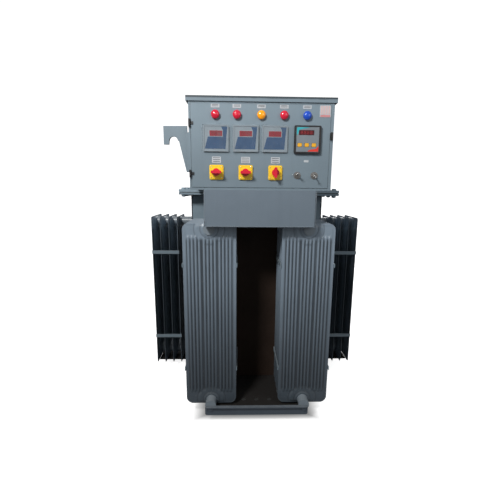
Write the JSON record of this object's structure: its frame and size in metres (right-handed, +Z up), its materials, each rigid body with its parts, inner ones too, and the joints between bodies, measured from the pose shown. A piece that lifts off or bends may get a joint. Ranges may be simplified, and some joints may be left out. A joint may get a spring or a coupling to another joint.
{
  "type": "variac autotransformer",
  "caption": "Floor-standing oil-cooled motorised variable autotransformer with radiator banks, terminal box and hinged control cabinet.",
  "frame": {"origin": "centre of the tank footprint on the floor, midway between the four floor bolts", "axes": "+Z up; the control door and front radiators face -Y; +X to the right of a person facing the door"},
  "size_m": [1.13, 0.7916, 1.374],
  "materials": {
    "channel_paint": "satin",
    "tank_paint": "satin",
    "grey_enamel": "semi-gloss",
    "box_enamel": "semi-gloss",
    "radiator_enamel": "semi-gloss",
    "charcoal_enamel": "semi-gloss",
    "strap_steel": "dull",
    "bar_paint": "satin",
    "cork_rubber": "matt",
    "zinc_plate": "dull zinc",
    "gauge_metal": "cast",
    "gauge_glass": "clear",
    "bronze": "machined",
    "valve_red": "gloss",
    "black_plastic": "fine texture",
    "porcelain": "glazed brown",
    "copper": "bare copper",
    "hinge_black": "black oxide",
    "motor_paint": "satin",
    "device_grey": "fine texture",
    "core_steel": "laminated",
    "shaft_steel": "ground",
    "gear_steel": "cut",
    "carbon": "carbon",
    "red_lens": "clear gloss",
    "amber_lens": "clear gloss",
    "blue_lens": "clear gloss",
    "meter_face": "printed face",
    "red_window": "tinted window",
    "clear_cover": "clear acrylic",
    "switch_yellow": "gloss",
    "knob_red": "gloss",
    "nickel": "bright",
    "label_white": "engraving stock, blank",
    "key_orange": "soft key"
  },
  "bodies": {
    "tank": {"base_frame": "channel_paint", "tank_shell": "tank_paint", "cover_gasket": "cork_rubber", "tank_cover": "grey_enamel", "cover_bolts": "zinc_plate", "front_radiator_left": "radiator_enamel", "front_radiator_right": "radiator_enamel", "side_radiator_left": "charcoal_enamel", "side_radiator_right": "charcoal_enamel", "header_pipes": "radiator_enamel", "brace_straps": "strap_steel", "bottom_tie_bar": "bar_paint", "oil_gauge_frame": "gauge_metal", "oil_gauge_glass": "gauge_glass", "drain_valve_body": "bronze", "lifting_hooks": "grey_enamel", "terminal_box": "box_enamel", "cable_glands": "black_plastic", "terminal_bushings": "porcelain", "phase_busbars": "copper", "cabinet_shell": "grey_enamel", "cabinet_roof": "grey_enamel", "hinge_leaves_fixed": "hinge_black", "servo_motor": "motor_paint", "motor_bracket": "zinc_plate", "control_gear": "device_grey", "core_rings": "core_steel", "coil_windings": "copper", "support_frame": "zinc_plate", "shaft_bushes": "bronze"},
    "door": {"door_panel": "grey_enamel", "door_gasket": "cork_rubber", "hinge_leaves_door": "hinge_black", "device_bodies": "black_plastic", "lamp_lenses_red": "red_lens", "lamp_lens_amber": "amber_lens", "lamp_lens_blue": "blue_lens", "meter_housings": "meter_face", "display_windows": "red_window", "meter_covers": "clear_cover", "controller_body": "black_plastic", "switch_plates": "switch_yellow", "toggle_switches": "nickel", "label_plates": "label_white"},
    "rotor": {"main_shaft": "shaft_steel", "main_gear": "gear_steel", "brush_arms": "bronze", "carbon_brushes": "carbon"},
    "pinion": {"motor_pinion": "bronze"},
    "selector_left": {"knob_left": "knob_red"},
    "selector_middle": {"knob_middle": "knob_red"},
    "selector_right": {"knob_right": "knob_red"},
    "toggle_left": {"lever_left": "nickel"},
    "toggle_right": {"lever_right": "nickel"},
    "button_left": {"key_left": "key_orange"},
    "button_middle": {"key_middle": "key_orange"},
    "button_right": {"key_right": "key_orange"},
    "latch": {"turn_button": "hinge_black"},
    "filler": {"filler_cap": "gauge_metal"},
    "drain_handle": {"valve_handle": "valve_red"}
  },
  "joints": [
    {"name": "door_swing", "type": "hinge", "parent": "tank", "child": "door", "pos_m": [-0.272, -0.501, 1.184], "axis": [0, 0, -1], "range_deg": [0, 110]},
    {"name": "latch_turn", "type": "hinge", "parent": "tank", "child": "latch", "pos_m": [0.268, -0.495, 1.227], "axis": [0, -1, 0], "range_deg": [0, 90]},
    {"name": "rotor_turn", "type": "hinge", "parent": "tank", "child": "rotor", "pos_m": [0, 0, 0.6], "axis": [0, 0, 1], "range_deg": [0, 320]},
    {"name": "pinion_turn", "type": "hinge", "parent": "tank", "child": "pinion", "pos_m": [0.162, 0, 1.062], "axis": [0, 0, 1], "range_deg": [-1408, 0]},
    {"name": "selector_left_turn", "type": "hinge", "parent": "door", "child": "selector_left", "pos_m": [-0.172, -0.506, 1.097], "axis": [0, 1, 0], "range_deg": [0, 90]},
    {"name": "selector_middle_turn", "type": "hinge", "parent": "door", "child": "selector_middle", "pos_m": [-0.06, -0.506, 1.097], "axis": [0, 1, 0], "range_deg": [0, 90]},
    {"name": "selector_right_turn", "type": "hinge", "parent": "door", "child": "selector_right", "pos_m": [0.055, -0.506, 1.097], "axis": [0, 1, 0], "range_deg": [-90, 90]},
    {"name": "toggle_left_flip", "type": "hinge", "parent": "door", "child": "toggle_left", "pos_m": [0.141, -0.503, 1.088], "axis": [1, 0, 0], "range_deg": [0, 30]},
    {"name": "toggle_right_flip", "type": "hinge", "parent": "door", "child": "toggle_right", "pos_m": [0.208, -0.503, 1.088], "axis": [1, 0, 0], "range_deg": [-30, 0]},
    {"name": "button_left_press", "type": "slide", "parent": "door", "child": "button_left", "axis": [0, 1, 0], "range_m": [0, 0.0015]},
    {"name": "button_middle_press", "type": "slide", "parent": "door", "child": "button_middle", "axis": [0, 1, 0], "range_m": [0, 0.0015]},
    {"name": "button_right_press", "type": "slide", "parent": "door", "child": "button_right", "axis": [0, 1, 0], "range_m": [0, 0.0015]},
    {"name": "filler_cap_lift", "type": "slide", "parent": "tank", "child": "filler", "axis": [0, 0, 1], "range_m": [0, 0.06]},
    {"name": "drain_handle_turn", "type": "hinge", "parent": "tank", "child": "drain_handle", "pos_m": [0.23, 0.232, 0.139], "axis": [0, 0, -1], "range_deg": [0, 90]}
  ],
  "couplings": [
    {"joint": "pinion_turn", "follows": "rotor_turn", "ratio": -4.4}
  ]
}
